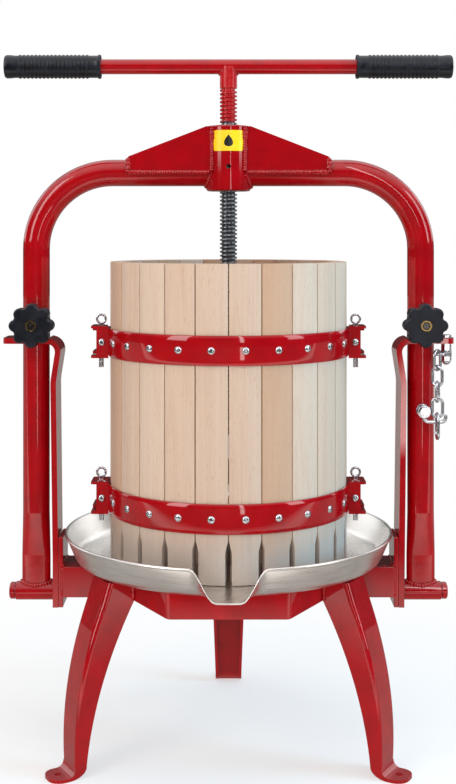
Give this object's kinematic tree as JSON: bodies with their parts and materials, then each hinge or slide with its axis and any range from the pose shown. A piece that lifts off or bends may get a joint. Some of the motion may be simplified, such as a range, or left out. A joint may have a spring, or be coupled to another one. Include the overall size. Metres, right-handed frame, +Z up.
{
  "type": "fruit press",
  "caption": "Hand screw fruit press on a tripod stand, with a slatted basket in halves, a juice pan with spout, and a tubular arch that tilts back.",
  "frame": {"origin": "on the screw axis at floor level", "axes": "+Z up along the screw, -Y toward the spout and the user, +X toward the chain side"},
  "size_m": [0.568, 0.46, 0.8695],
  "materials": {
    "red_paint": "gloss",
    "stainless": "brushed",
    "zinc": "satin",
    "screw_steel": "oiled",
    "bronze": "machined",
    "brass": "machined",
    "black_plastic": "satin",
    "grip_rubber": "matte",
    "beech": "planed",
    "yellow_label": "satin"
  },
  "bodies": {
    "base": {"base_beam": "red_paint", "pan_ring": "red_paint", "leg_front_left": "red_paint", "leg_front_right": "red_paint", "leg_rear": "red_paint", "side_bracket_left": "red_paint", "side_bracket_right": "red_paint", "pivot_pin_left": "zinc", "pivot_pin_right": "zinc", "juice_pan": "stainless", "pressing_boards": "beech", "press_block": "beech", "anchor_bolt": "zinc", "anchor_washers": "zinc", "anchor_cap_nut": "zinc", "anchor_link": "zinc"},
    "arch": {"arch_tube_left": "red_paint", "arch_tube_right": "red_paint", "pivot_sleeve_left": "red_paint", "pivot_sleeve_right": "red_paint", "gusset_left": "red_paint", "gusset_right": "red_paint", "screw_boss": "red_paint", "nut_bush": "bronze", "oil_label": "yellow_label", "chain_hook": "zinc", "hook_bolt": "zinc", "hook_washers": "zinc", "hook_nut": "zinc"},
    "foot": {"pressure_foot": "screw_steel", "foot_pins": "zinc"},
    "screw": {"press_screw": "screw_steel", "handle_bar": "red_paint", "grip_left": "grip_rubber", "grip_right": "grip_rubber"},
    "chain": {"chain_links": "zinc", "chain_end_link": "zinc"},
    "basket": {"staves_front": "beech", "staves_rear": "beech", "hoop_upper_front": "red_paint", "hoop_upper_rear": "red_paint", "hoop_lower_front": "red_paint", "hoop_lower_rear": "red_paint", "hoop_lugs_front": "red_paint", "hoop_lugs_rear": "red_paint", "hoop_screws_upper": "zinc", "hoop_screws_lower": "zinc", "lug_screws": "zinc"},
    "left_lock_washer": {"knob_washer_left": "zinc"},
    "left_knob": {"star_knob_left": "black_plastic", "knob_insert_left": "brass", "lock_stud_left": "zinc"},
    "right_lock_washer": {"knob_washer_right": "zinc"},
    "right_knob": {"star_knob_right": "black_plastic", "knob_insert_right": "brass", "lock_stud_right": "zinc"},
    "upper_left_pin": {"split_pin_upper_left": "zinc"},
    "upper_right_pin": {"split_pin_upper_right": "zinc"},
    "lower_left_pin": {"split_pin_lower_left": "zinc"},
    "lower_right_pin": {"split_pin_lower_right": "zinc"}
  },
  "joints": [
    {"name": "arch_tilt", "type": "hinge", "parent": "base", "child": "arch", "pos_m": [0, 0, 0.189], "axis": [-1, 0, 0], "range_deg": [0, 14]},
    {"name": "screw_feed", "type": "slide", "parent": "arch", "child": "foot", "axis": [0, 0, 1], "range_m": [-0.0502, 0.2652]},
    {"name": "screw_turn", "type": "hinge", "parent": "foot", "child": "screw", "pos_m": [0, 0, 0.8], "axis": [0, 0, 1], "range_deg": [-3600, 19080]},
    {"name": "chain_swing", "type": "hinge", "parent": "base", "child": "chain", "pos_m": [0.2606, -0.0289, 0.49145], "axis": [1, 0, 0], "range_deg": [0, 34]},
    {"name": "basket_lift", "type": "slide", "parent": "base", "child": "basket", "axis": [0, 0, 1], "range_m": [0, 0.025]},
    {"name": "left_lock_back_off", "type": "slide", "parent": "base", "child": "left_lock_washer", "axis": [0, -1, 0], "range_m": [0, 0.01205]},
    {"name": "left_knob_turn", "type": "hinge", "parent": "left_lock_washer", "child": "left_knob", "pos_m": [-0.244, 0, 0.528], "axis": [0, -1, 0], "range_deg": [0, 2880]},
    {"name": "right_lock_back_off", "type": "slide", "parent": "base", "child": "right_lock_washer", "axis": [0, -1, 0], "range_m": [0, 0.01205]},
    {"name": "right_knob_turn", "type": "hinge", "parent": "right_lock_washer", "child": "right_knob", "pos_m": [0.244, 0, 0.528], "axis": [0, -1, 0], "range_deg": [0, 2880]},
    {"name": "upper_left_pin_pull", "type": "slide", "parent": "basket", "child": "upper_left_pin", "axis": [0, 0, 1], "range_m": [0, 0.06]},
    {"name": "upper_right_pin_pull", "type": "slide", "parent": "basket", "child": "upper_right_pin", "axis": [0, 0, 1], "range_m": [0, 0.06]},
    {"name": "lower_left_pin_pull", "type": "slide", "parent": "basket", "child": "lower_left_pin", "axis": [0, 0, 1], "range_m": [0, 0.06]},
    {"name": "lower_right_pin_pull", "type": "slide", "parent": "basket", "child": "lower_right_pin", "axis": [0, 0, 1], "range_m": [0, 0.06]}
  ],
  "couplings": [
    {"joint": "screw_feed", "follows": "screw_turn", "m_per_rad": 0.00079577},
    {"joint": "chain_swing", "follows": "arch_tilt", "ratio": 2.4},
    {"joint": "left_lock_back_off", "follows": "left_knob_turn", "m_per_rad": 0.00023873},
    {"joint": "right_lock_back_off", "follows": "right_knob_turn", "m_per_rad": 0.00023873}
  ]
}
